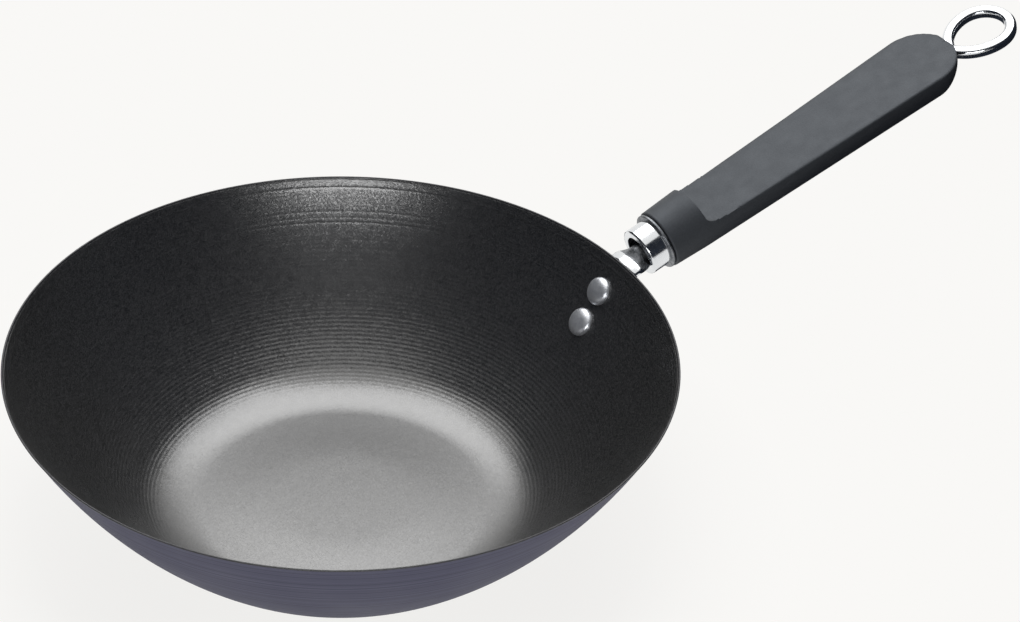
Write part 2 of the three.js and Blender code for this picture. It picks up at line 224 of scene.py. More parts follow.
# Stage in metres: the table's corners are (right, away) as the camera sees them
TABLE_CORNERS = ((-0.6, -0.36), (0.7, -0.36), (-0.41, 0.6), (-0.6, 0.6))
TABLE_DROP = 0.0004
BACKGROUND = (0.947, 0.939, 0.922, 1)
FLOOR_GLOW = 0.89
FLOOR_SHADE = 0.1
SHADE_FADE = (0.125, 0.184)
CURTAIN_RADIUS = 1.4
CURTAIN_ENDS = (30, 325)
CURTAIN_FOOT = -0.5
CURTAIN_TOP = 2.35
CURTAIN_LOW_TOP = 1.1
CURTAIN_LOW_SIDE = (60, 90)
CURTAIN_STEPS = 64
ROOM_LIGHT = 0.8

# Softboxes: angles in degrees as in seen_from_camera, distance and size in metres, power in watts
TOP_BOX = {"azimuth": -7, "elevation": 63.5, "distance": 1.1, "size": (1.2, 0.89), "power": 8.3}
FRONT_BOX = {"azimuth": 180, "elevation": 21, "distance": 1.3, "size": (0.9, 0.2), "power": 4.6}
LOW_BOX = {"azimuth": 180, "elevation": 4, "distance": 1.3, "size": (0.9, 0.16), "power": 1.3}


# Meshes


def make_piece(name, points, faces, materials, node, face_slots=None):
    """A smooth-shaded mesh from points in millimetres, riding on the part and standing for a CAD node."""
    mesh = bpy.data.meshes.new(name)
    mesh.from_pydata([Vector(p) * MM for p in points], [], faces)
    mesh.validate()
    for material in materials:
        mesh.materials.append(material)
    mesh.polygons.foreach_set("use_smooth", [True] * len(mesh.polygons))
    if face_slots:
        mesh.polygons.foreach_set("material_index", face_slots)
    piece = bpy.data.objects.new(name, mesh)
    bpy.context.scene.collection.objects.link(piece)
    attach(piece, "root")
    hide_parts(node)
    return piece


def split_edges(piece, angle):
    """Keep edges sharper than an angle crisp in the smooth shading."""
    piece.modifiers.new("edges", "EDGE_SPLIT").split_angle = angle


def grid_faces(rows, columns):
    """Quads over rows of points, each row closed on itself."""
    faces = []
    for row in range(rows - 1):
        for column in range(columns):
            a = row * columns + column
            b = row * columns + (column + 1) % columns
            faces.append((a, b, b + columns, a + columns))
    return faces


def end_faces(point_count, columns):
    """Faces that close the first and the last row of points."""
    first = tuple(range(columns - 1, -1, -1))
    last = tuple(range(point_count - columns, point_count))
    return [first, last]


def slots_from(first_row, face_count, columns):
    """Material slot of each face of a grid: 0 before a row and 1 from it on."""
    return [int(face // columns >= first_row) for face in range(face_count)]


def circle_angles(count):
    return [2 * math.pi * i / count for i in range(count)]


def turned(profile, segments, place):
    """Points and faces of (radius, height) points turned about Z, with the result moved by a matrix."""
    points = []
    for radius, height in profile:
        for angle in circle_angles(segments):
            points.append(place @ Vector((radius * math.cos(angle), radius * math.sin(angle), height)))
    return points, grid_faces(len(profile), segments)


def arc(centre, radius, start, stop, steps):
    """Points of an arc, both ends included."""
    angles = [start + (stop - start) * i / steps for i in range(steps + 1)]
    return [(centre[0] + radius * math.cos(a), centre[1] + radius * math.sin(a)) for a in angles]


def mixed(low, high, share):
    return low + (high - low) * share


def smooth_share(low, high, value):
    """Eased share of the way from low to high."""
    share = min(max((value - low) / (high - low), 0), 1)
    return share * share * (3 - 2 * share)


# Bowl section

knee = (BASE_RADIUS + BASE_FILLET * math.sin(KNEE_SLOPE), BASE_FILLET * (1 - math.cos(KNEE_SLOPE)))
to_rim = (RIM_RADIUS - knee[0], BOWL_HEIGHT - knee[1])
rim_reach = to_rim[1] * math.cos(KNEE_SLOPE) - to_rim[0] * math.sin(KNEE_SLOPE)
wall_arc = (to_rim[0] ** 2 + to_rim[1] ** 2) / (2 * rim_reach)
wall_centre = (knee[0] - wall_arc * math.sin(KNEE_SLOPE), knee[1] + wall_arc * math.cos(KNEE_SLOPE))
rim_slope = math.atan2(RIM_RADIUS - wall_centre[0], wall_centre[1] - BOWL_HEIGHT)
wall_length = (rim_slope - KNEE_SLOPE) * wall_arc


def slope_below_rim(distance):
    """Slope of the wall at a distance down it from the rim."""
    if distance < wall_length:
        return rim_slope - distance / wall_arc
    return KNEE_SLOPE - (distance - wall_length) / BASE_FILLET


def wall_point(slope, outward):
    """(radius, height) of the outer wall where it has a slope, moved out along its normal."""
    if slope >= KNEE_SLOPE:
        centre = wall_centre
        radius = wall_arc + outward
    else:
        centre = (BASE_RADIUS, BASE_FILLET)
        radius = BASE_FILLET + outward
    return (centre[0] + radius * math.sin(slope), centre[1] - radius * math.cos(slope))


def wall_thickness(distance):
    """Thickness of the wall, which thins towards the rim."""
    return mixed(RIM_WALL, WALL, smooth_share(0, RIM_TAPER, distance))


def ring_height(distance):
    """How far the spun rings and the ridges near the rim stand proud of the wall's inside."""
    fade = mixed(RINGS_LEAST, 1, smooth_share(RINGS_FADED, RINGS_FULL, distance))
    lowest = wall_length + RINGS_BELOW_KNEE
    fade *= 1 - smooth_share(lowest - RINGS_FADE, lowest, distance)
    quick, slow = UNEVEN_WAVES
    uneven = 1 + UNEVEN_SHARE * math.sin(distance * quick) * math.sin(distance * slow + 1)
    height = RING_HEIGHT * fade * uneven * math.sin(2 * math.pi * distance / RING_PITCH)
    for place, ridge_height in RIDGES:
        height += ridge_height * math.exp(-((distance - place) / RIDGE_SPREAD) ** 2)
    return height


def base_rise(radius):
    """How far the inside of the base stands above its edge: pressed up a little in the middle."""
    return BASE_RISE * (1 - smooth_share(BASE_FLAT_RADIUS, BASE_RADIUS, radius))


def bowl_outside():
    """Section points from the underside's centre up to the rim."""
    base = [(BASE_RADIUS * share, 0) for share in UNDERSIDE_SHARES]
    slopes = [KNEE_SLOPE * i / FILLET_STEPS for i in range(FILLET_STEPS)]
    slopes += [mixed(KNEE_SLOPE, rim_slope, i / WALL_STEPS) for i in range(WALL_STEPS)]
    return base + [wall_point(slope, 0) for slope in slopes]


def bowl_rim():
    """Section points over the smoothed cut edge of the rim, from outside to inside."""
    crown = math.pi - rim_slope
    outer = wall_point(rim_slope, -RIM_EDGE)
    inner = wall_point(rim_slope, RIM_EDGE - RIM_WALL)
    top = BOWL_HEIGHT - RIM_EDGE
    outer_edge = arc((outer[0], top), RIM_EDGE, rim_slope - QUARTER, QUARTER, RIM_EDGE_STEPS)
    inner_edge = arc((inner[0], top), RIM_EDGE, QUARTER, QUARTER + crown, RIM_EDGE_STEPS)
    return outer_edge + inner_edge


def bowl_inside():
    """Section points from just below the rim down to the inside's centre, with the spun rings."""
    count = int((wall_length + RINGS_BELOW_KNEE - INSIDE_START) / INSIDE_STEP)
    distances = [INSIDE_START + INSIDE_STEP * i for i in range(count)]
    points = [wall_point(slope_below_rim(d), -wall_thickness(d) - ring_height(d)) for d in distances]
    lowest_slope = slope_below_rim(distances[-1])
    for i in range(1, INSIDE_FILLET_STEPS + 1):
        points.append(wall_point(lowest_slope * (1 - i / INSIDE_FILLET_STEPS), -WALL))
    for i in range(1, BASE_STEPS):
        radius = BASE_RADIUS * (1 - i / BASE_STEPS)
        points.append((radius, WALL + base_rise(radius)))
    return points


def make_bowl(inside, outside, edge):
    """The pressed bowl with its three finishes: slot 0 inside, 1 outside and 2 on the rim."""
    outer = bowl_outside()
    rim = bowl_rim()
    inner = bowl_inside()
    points, faces = turned(outer + rim + inner, BOWL_SEGMENTS, Matrix.Identity(4))
    faces += end_faces(len(points), BOWL_SEGMENTS)
    slots = [1] * len(outer) * BOWL_SEGMENTS
    slots += [2] * (len(rim) - 1) * BOWL_SEGMENTS
    slots += [0] * len(inner) * BOWL_SEGMENTS
    slots += [1, 0]
    make_piece("bowl", points, faces, [inside, outside, edge], "wok_body", slots)


# Rivets


def on_wall(below_rim):
    """A matrix that stands a piece made along Z on the outer wall, Z pointing out of the bowl."""
    slope = slope_below_rim(below_rim)
    radius, height = wall_point(slope, 0)
    normal = Vector((math.sin(slope), 0, -math.cos(slope)))
    along = Vector((math.cos(slope), 0, math.sin(slope)))
    side = normal.cross(along)
    axes = Matrix((along, side, normal)).transposed().to_4x4()
    return Matrix.Translation((radius, 0, height)) @ axes


def make_rivet(name, below_rim, metal):
    """Head inside with a low crown and a rounded edge, shank, and an upset tail outside the strap."""
    head = RIVET_HEAD / 2
    head_base = -wall_thickness(below_rim) - RIVET_SEAT
    under_head = head_base + HAIR
    tail = RIVET_TAIL / 2
    tail_base = 2 * GAP + STRAP
    angles = [QUARTER * i / RIVET_STEPS for i in range(RIVET_STEPS + 1)]
    profile = []
    for angle in angles:
        across = head * math.sin(angle) ** HEAD_BULGE
        profile.append((max(across, HAIR), head_base - RIVET_HEAD_HEIGHT * math.cos(angle) ** HEAD_CROWN))
    profile += [(head - HEAD_EDGE, under_head), (SHANK_RADIUS, under_head), (SHANK_RADIUS, tail_base)]
    for angle in angles:
        across = tail * math.cos(angle)
        profile.append((max(across, HAIR), tail_base + RIVET_TAIL_HEIGHT * math.sin(angle)))
    points, faces = turned(profile, RIVET_SEGMENTS, on_wall(below_rim))
    make_piece(name + "_finished", points, faces, [metal], name)


# Handle frame

handle_place = Matrix.Translation((RIM_RADIUS + HANDLE_STANDOFF, 0, BOWL_HEIGHT - HANDLE_DROP))
handle_place = handle_place @ Matrix.Rotation(-HANDLE_SLOPE, 4, "Y")
along_handle = handle_place @ Matrix.Rotation(QUARTER, 4, "Y")


def on_handle(along, above):
    """(x, z) in the part's frame of a place on the handle's middle plane."""
    place = handle_place @ Vector((along, 0, above))
    return Vector((place.x, place.z))


# Strap stations: (place, half width, edge curve), from the plate's foot to the tab's end

wall_curve = math.sin(rim_slope) / (2 * RIM_RADIUS)
fold_curve = -FOLD_CROWN / FOLD_HALF ** 2
neck_curve = -NECK_CROWN / NECK_HALF ** 2
lift_below_rim = RIVET_BELOW_RIM - LIFT_ABOVE_RIVET
end_shares = [1 - math.cos(QUARTER * (i + 1) / END_STEPS) for i in range(END_STEPS)]


def bend(before, corner, after, radius):
    """Arc that replaces the corner between two straight runs."""
    inward = (before - corner).normalized()
    outward = (after - corner).normalized()
    half = inward.angle(outward) / 2
    centre = corner + (inward + outward).normalized() * (radius / math.sin(half))
    start = corner + inward * (radius / math.tan(half)) - centre
    end = corner + outward * (radius / math.tan(half)) - centre
    turn = math.atan2(start.x * end.y - start.y * end.x, start.dot(end))
    first = math.atan2(start.y, start.x)
    return [Vector(p) for p in arc(centre, radius, first, first + turn, BEND_STEPS)]


def on_plate(below_rim):
    """(x, z) in the middle of the strap's thickness where it lies along the wall."""
    return Vector(wall_point(slope_below_rim(below_rim), GAP + STRAP / 2))


def end_half(radius, share):
    """Half width of a round end at a share of its radius from the tip."""
    return radius * math.sqrt(share * (2 - share))


def plate_stations(lift, fold):
    """The riveted plate from its round foot up to the bend that takes it off the wall."""
    foot = RIVET_BELOW_RIM + RIVET_PITCH + PLATE_BELOW_RIVET
    plate_top = lift_below_rim + LIFT_BEND
    stations = []
    for share in end_shares:
        stations.append((on_plate(foot - share * PLATE_HALF), end_half(PLATE_HALF, share), wall_curve))
    for i in range(1, PLATE_STEPS):
        below = mixed(foot - PLATE_HALF, plate_top, i / PLATE_STEPS)
        stations.append((on_plate(below), PLATE_HALF, wall_curve))
    for place in bend(on_plate(RIVET_BELOW_RIM), lift, fold, LIFT_BEND):
        stations.append((place, PLATE_HALF, wall_curve))
    return stations


def fold_stations(start, lift, fold):
    """The riser that narrows from the plate's bend to the fold, the fold, and the flat run after it."""
    fold_arc = bend(lift, fold, on_handle(TAB_PLACE, FOLD_RISE), FOLD_BEND)
    stations = []
    for i in range(1, RISER_STEPS):
        share = i / RISER_STEPS
        narrowed = smooth_share(0, 1, share)
        half = mixed(PLATE_HALF, FOLD_HALF, narrowed)
        stations.append((start.lerp(fold_arc[0], share), half, mixed(wall_curve, fold_curve, narrowed)))
    for place in fold_arc:
        stations.append((place, FOLD_HALF, fold_curve))
    for share in FLAT_SHARES:
        along = mixed(-FOLD_STANDOFF + FOLD_LEAD, -NECK_LENGTH, share)
        stations.append((on_handle(along, FOLD_RISE), FOLD_HALF, fold_curve))
    return stations


def neck_stations():
    """The neck that narrows into the ferrule's hole, and the tab turned down inside."""
    stations = []
    for i in range(1, NECK_STEPS + 1):
        along = mixed(-NECK_LENGTH, FERRULE_WALL, i / NECK_STEPS)
        narrowed = smooth_share(0, NECK_NARROW_STEPS, i)
        half = mixed(FOLD_HALF, NECK_HALF, narrowed)
        rise = mixed(FOLD_RISE, NECK_RISE, narrowed)
        stations.append((on_handle(along, rise), half, mixed(fold_curve, neck_curve, narrowed)))
    tab_top = on_handle(TAB_PLACE, NECK_RISE)
    tab_rod = on_handle(TAB_PLACE, -ROD_DROP)
    for place in bend(on_handle(FERRULE_WALL, NECK_RISE), tab_top, tab_rod, TAB_BEND):
        stations.append((place, NECK_HALF, 0))
    for share in reversed(end_shares):
        above = (share - 1) * TAB_ROUND - ROD_DROP
        stations.append((on_handle(TAB_PLACE, above), end_half(TAB_ROUND, share), 0))
    return stations


def strap_section(half):
    """(across, above) points round the strap's thickness, with broken edges."""
    section = []
    for side in (1, -1):
        for i in range(ACROSS_STEPS + 1):
            share = side * (1 - 2 * i / ACROSS_STEPS)
            section.append((share * (half - STRAP_EDGE), side * STRAP / 2))
        section.append((-side * half, side * (STRAP / 2 - STRAP_EDGE)))
        section.append((-side * half, -side * (STRAP / 2 - STRAP_EDGE)))
    return section


def make_strap(metal, neck_painted_shade):
    """The strap from plate to tab: slot 0 up to the neck and 1, darker with painted shade, from there on.
    """
    lift = on_plate(lift_below_rim)
    fold = on_handle(-FOLD_STANDOFF, FOLD_RISE)
    stations = plate_stations(lift, fold)
    stations += fold_stations(stations[-1][0], lift, fold)
    neck_start = len(stations)
    stations += neck_stations()
    points = []
    for i, (place, half, curve) in enumerate(stations):
        before = stations[max(i - 1, 0)][0]
        after = stations[min(i + 1, len(stations) - 1)][0]
        along = (after - before).normalized()
        top = Vector((-along.y, along.x))
        for across, above in strap_section(half):
            spot = place + top * (curve * across ** 2 + above)
            points.append((spot.x, across, spot.y))
    columns = len(points) // len(stations)
    faces = grid_faces(len(stations), columns)
    slots = slots_from(neck_start, len(faces), columns) + [0, 1]
    faces += end_faces(len(points), columns)
    metals = [metal, neck_painted_shade]
    strap = make_piece("strap", points, faces, metals, "handle_bracket", slots)
    split_edges(strap, SPLIT_ANGLE)


# Ferrule


def make_ferrule(metal, flange_painted_shade):
    """The cup with its hole and flange: slot 0 over the cup's outside and 1, darker with painted shade,
    from the flange on.
    """
    flange_start = FERRULE_LENGTH - FLANGE
    flange_round = FLANGE_RADIUS - FLANGE_EDGE
    bore = FERRULE_RADIUS - FERRULE_WALL
    hole_round = (FERRULE_HOLE + HOLE_EDGE, HOLE_EDGE)
    front_round = (FERRULE_RADIUS - FERRULE_EDGE, FERRULE_EDGE)
    flange_fillet = (FERRULE_RADIUS + FLANGE_FILLET, flange_start - FLANGE_FILLET)
    profile = arc(hole_round, HOLE_EDGE, math.pi, math.pi + QUARTER, SMALL_EDGE_STEPS)
    profile += arc(front_round, FERRULE_EDGE, -QUARTER, 0, FERRULE_EDGE_STEPS)
    cup_rows = len(profile)
    profile += arc(flange_fillet, FLANGE_FILLET, math.pi, QUARTER, SMALL_EDGE_STEPS)
    profile += arc((flange_round, flange_start + FLANGE_EDGE), FLANGE_EDGE, -QUARTER, 0, FLANGE_EDGE_STEPS)
    profile += arc((flange_round, FERRULE_LENGTH - FLANGE_EDGE), FLANGE_EDGE, 0, QUARTER, FLANGE_EDGE_STEPS)
    profile += [(bore, FERRULE_LENGTH), (bore, FERRULE_WALL), (FERRULE_HOLE, FERRULE_WALL)]
    profile.append(profile[0])
    points, faces = turned(profile, FERRULE_SEGMENTS, along_handle)
    slots = slots_from(cup_rows, len(faces), FERRULE_SEGMENTS)
    metals = [metal, flange_painted_shade]
    ferrule = make_piece("ferrule_cup", points, faces, metals, "ferrule", slots)
    split_edges(ferrule, SPLIT_ANGLE)


# Grip


def grip_oval(along):
    """(half width, half height, middle's height) of the full oval section."""
    if along <= PANEL_FRONT:
        share = (along - GRIP_FRONT) / (PANEL_FRONT - GRIP_FRONT)
        radius = mixed(COLLAR_FRONT_RADIUS, COLLAR_REAR_RADIUS, share)
        return radius, radius, 0
    if along <= TAIL_START:
        share = (along - PANEL_FRONT) / (TAIL_START - PANEL_FRONT)
        half_width = mixed(COLLAR_REAR_RADIUS, GRIP_HALF_WIDTH, share)
        half_height = mixed(COLLAR_REAR_RADIUS, GRIP_HALF_HEIGHT, share)
        return half_width, half_height, 0
    angle = math.asin(min((along - TAIL_START) / TAIL_RUN * math.sin(TAIL_CLOSE), 1))
    left = math.cos(angle)
    belly_left = left ** TAIL_BELLY
    return GRIP_HALF_WIDTH * left, GRIP_HALF_HEIGHT * belly_left, PANEL_HEIGHT * (1 - belly_left)


def panel_level(along, across):
    """Height of the flat panel, rising to above the collar in front of its curved front edge."""
    beyond = min(max(abs(across) - PANEL_FRONT_HALF, 0) / PANEL_CORNER_WIDTH, 1)
    front = PANEL_FRONT + PANEL_CORNER_RUN * (1 - math.sqrt(1 - beyond ** 2))
    climb = 1 - smooth_share(front, front + STEP_RUN, along)
    return PANEL_HEIGHT + climb * 2 * COLLAR_REAR_RADIUS


def panel_blend(along):
    """Size of the rounding along the panel's edges: crisp at its front, soft further back."""
    blend = mixed(FRONT_BLEND, PANEL_BLEND, smooth_share(*PANEL_BLEND_RUN, along))
    return mixed(blend, TAIL_BLEND, smooth_share(TAIL_START - TAIL_BLEND_RUN, TAIL_START, along))


def boss_reach(side, up, middle):
    """How far the round boss under the tail reaches from the section's middle in one direction."""
    drop = middle + ROD_DROP
    off_line = (drop * side) ** 2
    if up > 0 or off_line > BOSS_RADIUS ** 2:
        return 0
    return -drop * up + math.sqrt(BOSS_RADIUS ** 2 - off_line)


def grip_ring(along):
    """Section of the grip: the oval cut by the panel with a rounded edge, and the boss under the tail."""
    boss = TAIL_START < along <= BOSS_END
    blend = panel_blend(along)
    half_width, half_height, middle = grip_oval(along)
    ring = []
    for angle in circle_angles(GRIP_COLUMNS):
        side = math.sin(angle)
        up = math.cos(angle)
        oval = 1 / math.hypot(side / half_width, up / half_height)
        reach = oval
        if up > LEAST_UP:
            on_panel = max(PANEL_HEIGHT - middle, LEAST_DEPTH) / up
            level = panel_level(along, min(oval, on_panel) * side)
            flat = max(level - middle, LEAST_DEPTH) / up
            gap = max(blend - abs(oval - flat), 0) / blend
            reach = min(oval, flat) - gap ** 2 * blend / 4
        if boss:
            reach = max(reach, boss_reach(side, up, middle))
        ring.append((along, -reach * side, middle + reach * up))
    return ring


def round_ring(along, radius):
    """Round section of the grip's mouth and of its collar's front edge."""
    angles = circle_angles(GRIP_COLUMNS)
    return [(along, -radius * math.sin(a), radius * math.cos(a)) for a in angles]


def grip_stations():
    """Places of the sections along the grip, closest at the panel's front and round the tail."""
    stations = [GRIP_FRONT + COLLAR_EDGE + COLLAR_STEP * i for i in range(COLLAR_STEPS)]
    stations += [PANEL_FRONT - PANEL_LEAD + PANEL_STEP * i for i in range(PANEL_STEPS)]
    fine_end = stations[-1]
    stations += [mixed(fine_end, TAIL_START, (i + 1) / LENGTH_STEPS) for i in range(LENGTH_STEPS)]
    for i in range(1, TAIL_STEPS + 1):
        angle = TAIL_CLOSE * i / TAIL_STEPS
        stations.append(TAIL_START + TAIL_RUN * math.sin(angle) / math.sin(TAIL_CLOSE))
    stations += [BOSS_END, BOSS_END + HAIR]
    return sorted(stations)


def make_grip(plastic):
    """The moulding from its mouth over the collar and panel to the closed tail."""
    rings = [round_ring(GRIP_FRONT + MOUTH_DEPTH, MOUTH_RADIUS), round_ring(GRIP_FRONT, MOUTH_RADIUS)]
    edge_round = (GRIP_FRONT + COLLAR_EDGE, COLLAR_FRONT_RADIUS - COLLAR_EDGE)
    collar_edge = arc(edge_round, COLLAR_EDGE, QUARTER, math.pi, COLLAR_EDGE_STEPS)
    rings += [round_ring(along, radius) for along, radius in reversed(collar_edge)]
    rings += [grip_ring(along) for along in grip_stations()]
    end = rings[-1]
    middle = sum(z for _, _, z in end) / GRIP_COLUMNS
    for shrink in TAIL_SHRINKS:
        along = GRIP_END + TAIL_EDGE * (1 - shrink)
        rings.append([(along, y * shrink, mixed(middle, z, shrink)) for _, y, z in end])
    points = [handle_place @ Vector(p) for ring in rings for p in ring]
    faces = grid_faces(len(rings), GRIP_COLUMNS) + end_faces(len(points), GRIP_COLUMNS)
    grip = make_piece("grip_moulding", points, faces, [plastic], "grip")
    split_edges(grip, GRIP_SPLIT_ANGLE)


# Hanging loop


def drop_points(eye, tip_radius, leg_radius, leg_shift, leg_angle):
    """Outline of a drop: one leg, the round tip and the other leg."""
    points = arc((eye, leg_shift), leg_radius, -leg_angle, -QUARTER, LEG_STEPS)
    points += arc((eye, 0), tip_radius, -QUARTER, QUARTER, TIP_STEPS)[1:]
    points += arc((eye, -leg_shift), leg_radius, QUARTER, leg_angle, LEG_STEPS)[1:]
    return points


def eye_levels():
    """(inset, height) over the eye's thickness: barrelled sides, edge rounds, flat faces."""
    half = EYE_THICKNESS / 2
    flat = half - EYE_EDGE
    levels = []
    for i in range(LEVEL_STEPS + 1):
        height = mixed(-flat, flat, i / LEVEL_STEPS)
        levels.append((EYE_BULGE * (height / half) ** 2, height))
    side_inset = levels[0][0]
    edge = []
    for i in range(1, LEVEL_STEPS + 1):
        angle = QUARTER * i / LEVEL_STEPS
        edge.append((side_inset + EYE_EDGE * (1 - math.cos(angle)), flat + EYE_EDGE * math.sin(angle)))
    edge.append((edge[-1][0] + EYE_LIP, half))
    below = [(inset, -height) for inset, height in reversed(edge)]
    return below + levels + edge


def eye_faces(levels, count):
    """Quads round the outside and the hole of the eye and over its two flat faces."""
    columns = 2 * count
    faces = []
    for level in range(levels - 1):
        for i in range(count):
            outer_a = level * columns + i
            outer_b = level * columns + (i + 1) % count
            faces.append((outer_a, outer_b, outer_b + columns, outer_a + columns))
            if i < count - 1:
                inner_a = outer_a + count
                inner_b = outer_b + count
                faces.append((inner_b, inner_a, inner_a + columns, inner_b + columns))
    for level, flip in ((0, True), (levels - 1, False)):
        start = level * columns
        for i in range(count):
            a = start + i
            b = start + (i + 1) % count
            ring = (a, b, b + count, a + count)
            faces.append(ring[::-1] if flip else ring)
    return faces


def make_loop_eye(metal):
    """The drop-shaped eye, whose point lies behind the collar."""
    root = (LOOP_START + LOOP_COLLAR_END) / 2
    eye = LOOP_START + POINT_DEPTH + EYE_TO_POINT
    leg = (EYE_RADIUS ** 2 + EYE_TO_POINT ** 2) / (2 * EYE_RADIUS)
    shift = leg - EYE_RADIUS
    levels = eye_levels()
    points = []
    for inset, height in levels:
        outer_leg = leg + EYE_BAND - inset
        root_angle = math.acos((root - eye) / outer_leg)
        outer = drop_points(eye, EYE_RADIUS + EYE_BAND - inset, outer_leg, shift, root_angle)
        inner_leg = leg + inset
        point_angle = math.acos(-math.sqrt(inner_leg ** 2 - shift ** 2) / inner_leg)
        inner = drop_points(eye, EYE_RADIUS + inset, inner_leg, shift, point_angle)
        for x, y in outer + inner:
            points.append(handle_place @ Vector((x, y, height - ROD_DROP)))
    faces = eye_faces(len(levels), len(outer))
    loop = make_piece("loop_eye", points, faces, [metal], "hanging_loop")
    split_edges(loop, SPLIT_ANGLE)


def make_loop_stem(metal):
    """The collar and stem that carry the eye in the grip."""
    start = LOOP_START - STEM_LENGTH
    chamfered = LOOP_COLLAR_RADIUS - LOOP_COLLAR_EDGE
    profile = [(HAIR, start), (STEM_RADIUS - STEM_EDGE, start), (STEM_RADIUS, start + STEM_EDGE)]
    profile += [(STEM_RADIUS, LOOP_START), (chamfered, LOOP_START)]
    profile.append((LOOP_COLLAR_RADIUS, LOOP_START + LOOP_COLLAR_EDGE))
    profile.append((LOOP_COLLAR_RADIUS, LOOP_COLLAR_END - LOOP_COLLAR_EDGE))
    profile += [(chamfered, LOOP_COLLAR_END), (HAIR, LOOP_COLLAR_END)]
    stem_place = along_handle @ Matrix.Translation((ROD_DROP, 0, 0))
    points, faces = turned(profile, STEM_SEGMENTS, stem_place)
    stem = make_piece("loop_stem", points, faces, [metal], "hanging_loop")
    split_edges(stem, SPLIT_ANGLE)


# Materials


class Nodes:
    """A new node material with its main shader, and short calls to add and join nodes."""

    def __init__(self, name):
        self.material = bpy.data.materials.new(name)
        self.material.use_nodes = True
        self.tree = self.material.node_tree
        self.shader = self.tree.nodes["Principled BSDF"]
        self.place = self.add("ShaderNodeTexCoord").outputs["Object"]

    def add(self, kind, **settings):
        node = self.tree.nodes.new(kind)
        for key, value in settings.items():
            setattr(node, key, value)
        return node

    def join(self, output, target):
        self.tree.links.new(output, target)

    def set(self, **values):
        for key, value in values.items():
            self.shader.inputs[key.replace("_", " ")].default_value = value

    def height(self):
        """Height above the base's underside."""
        node = self.add("ShaderNodeSeparateXYZ")
        self.join(self.place, node.inputs["Vector"])
        return node.outputs["Z"]

    def noise(self, scale, detail=3.0):
        node = self.add("ShaderNodeTexNoise")
        node.inputs["Scale"].default_value = scale
        node.inputs["Detail"].default_value = detail
        node.inputs["Roughness"].default_value = 0.55
        self.join(self.place, node.inputs["Vector"])
        return node.outputs["Fac"]

    def lines(self, axis_output, scale, detail):
        """Noise along one coordinate only, which draws lines across it."""
        node = self.add("ShaderNodeTexNoise", noise_dimensions="1D")
        node.inputs["Scale"].default_value = scale
        node.inputs["Detail"].default_value = detail
        self.join(axis_output, node.inputs["W"])
        return node.outputs["Fac"]

    def spread(self, value, low, high, start=0.3, stop=0.7):
        """A value between start and stop turned into one between low and high."""
        node = self.add("ShaderNodeMapRange")
        node.inputs["From Min"].default_value = start
        node.inputs["From Max"].default_value = stop
        node.inputs["To Min"].default_value = low
        node.inputs["To Max"].default_value = high
        self.join(value, node.inputs["Value"])
        return node.outputs["Result"]

    def flakes(self, scale, lean):
        """A random grey for each tiny cell of the skin, and a normal that leans as far as lean says."""
        cells = self.add("ShaderNodeTexVoronoi")
        cells.inputs["Scale"].default_value = scale
        self.join(self.place, cells.inputs["Vector"])
        centred = self.add("ShaderNodeVectorMath", operation="SUBTRACT")
        self.join(cells.outputs["Color"], centred.inputs[0])
        centred.inputs[1].default_value = (0.5, 0.5, 0.5)
        sized = self.add("ShaderNodeVectorMath", operation="SCALE")
        self.join(centred.outputs["Vector"], sized.inputs[0])
        self.join(lean, sized.inputs["Scale"])
        leaned = self.add("ShaderNodeVectorMath", operation="ADD")
        self.join(sized.outputs["Vector"], leaned.inputs[0])
        self.join(self.add("ShaderNodeNewGeometry").outputs["Normal"], leaned.inputs[1])
        unit = self.add("ShaderNodeVectorMath", operation="NORMALIZE")
        self.join(leaned.outputs["Vector"], unit.inputs[0])
        return cells.outputs["Color"], unit.outputs["Vector"]

    def colour(self, value, dark, light, start=0.3, stop=0.7):
        """Base colour that runs from dark to light as a value runs from start to stop."""
        node = self.add("ShaderNodeValToRGB")
        for element, place, tone in zip(node.color_ramp.elements, (start, stop), (dark, light)):
            element.position = place
            element.color = (*tone, 1)
        self.join(value, node.inputs["Fac"])
        self.join(node.outputs["Color"], self.shader.inputs["Base Color"])

    def roughness(self, value, smooth, rough):
        self.join(self.spread(value, smooth, rough), self.shader.inputs["Roughness"])

    def normal(self, output):
        self.join(output, self.shader.inputs["Normal"])

    def bump(self, height, strength, distance):
        node = self.add("ShaderNodeBump")
        node.inputs["Strength"].default_value = strength
        node.inputs["Distance"].default_value = distance
        self.join(height, node.inputs["Height"])
        self.normal(node.outputs["Normal"])


def coating_inside():
    """Dark satin film of tiny flakes that shade and lean differently, and lean least on the base."""
    film = Nodes("nonstick_inside")
    lean = film.spread(film.height(), low=0.055, high=0.105, start=0.003, stop=0.014)
    flecks, leaning = film.flakes(scale=2400, lean=lean)
    film.colour(flecks, dark=(0.004, 0.004, 0.0042), light=(0.036, 0.036, 0.037), start=0.2, stop=0.8)
    film.roughness(film.noise(scale=300), smooth=0.28, rough=0.32)
    film.set(IOR=1.9, Specular_IOR_Level=0.85)
    film.normal(leaning)
    return film.material


def coating_outside():
    """Blue-grey baked film with fine rings drawn round the bowl."""
    film = Nodes("film_outside")
    rings = film.lines(film.height(), scale=900, detail=4.0)
    film.colour(rings, dark=(0.07, 0.07, 0.111), light=(0.136, 0.136, 0.203))
    film.roughness(film.noise(scale=40), smooth=0.56, rough=0.64)
    film.set(Specular_IOR_Level=0.15)
    film.bump(rings, strength=0.5, distance=0.0001)
    return film.material


def rim_edge():
    """Thin dark film over the cut edge of the rim."""
    film = Nodes("rim_edge")
    film.colour(film.noise(scale=300), dark=(0.03, 0.03, 0.033), light=(0.06, 0.06, 0.065))
    film.roughness(film.noise(scale=500), smooth=0.3, rough=0.45)
    film.set(Specular_IOR_Level=0.5)
    return film.material


